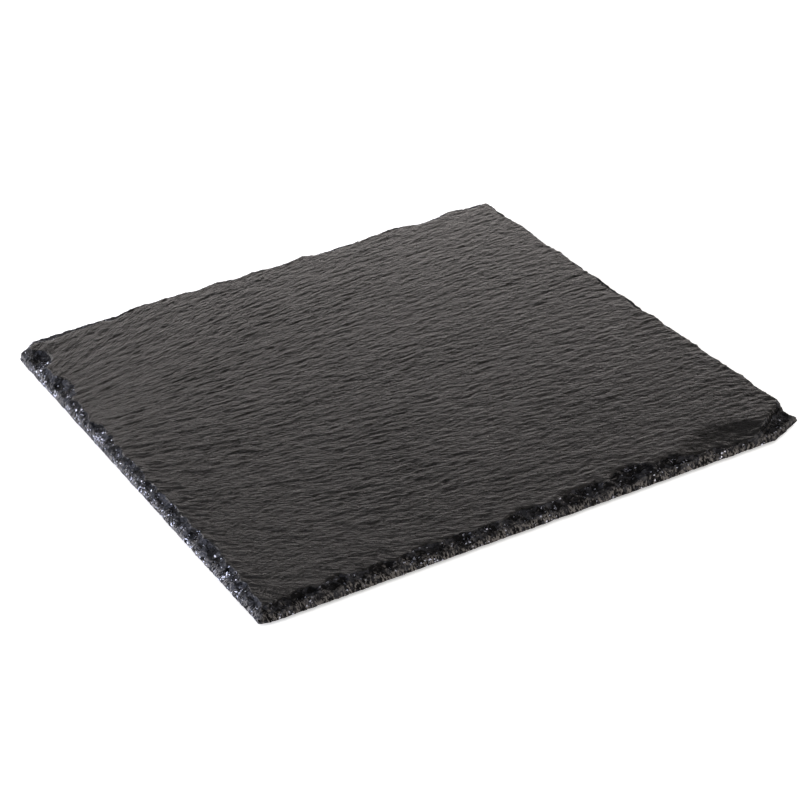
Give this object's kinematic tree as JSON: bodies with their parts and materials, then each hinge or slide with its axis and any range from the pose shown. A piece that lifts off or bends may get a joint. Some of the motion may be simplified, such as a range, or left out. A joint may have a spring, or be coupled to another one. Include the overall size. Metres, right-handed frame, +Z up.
{
  "type": "serving board",
  "caption": "Square riven slate serving board with hand-chipped edges, standing on small soft stick-on feet.",
  "frame": {"origin": "on the table under the middle of the board", "axes": "+Z up, the front side along X, the left side along Y"},
  "size_m": [0.3008, 0.3019, 0.0092],
  "materials": {
    "slate": "matt, riven along the cleavage, with mica glints on the broken edges",
    "foot_rubber": "matt black moulded rubber",
    "adhesive": "pale acrylic adhesive film"
  },
  "bodies": {
    "root": {"slate_slab": "slate", "foot_front_left": "foot_rubber", "adhesive_disc_front_left": "adhesive", "foot_front_right": "foot_rubber", "adhesive_disc_front_right": "adhesive", "foot_back_right": "foot_rubber", "adhesive_disc_back_right": "adhesive", "foot_back_left": "foot_rubber", "adhesive_disc_back_left": "adhesive"}
  },
  "joints": []
}
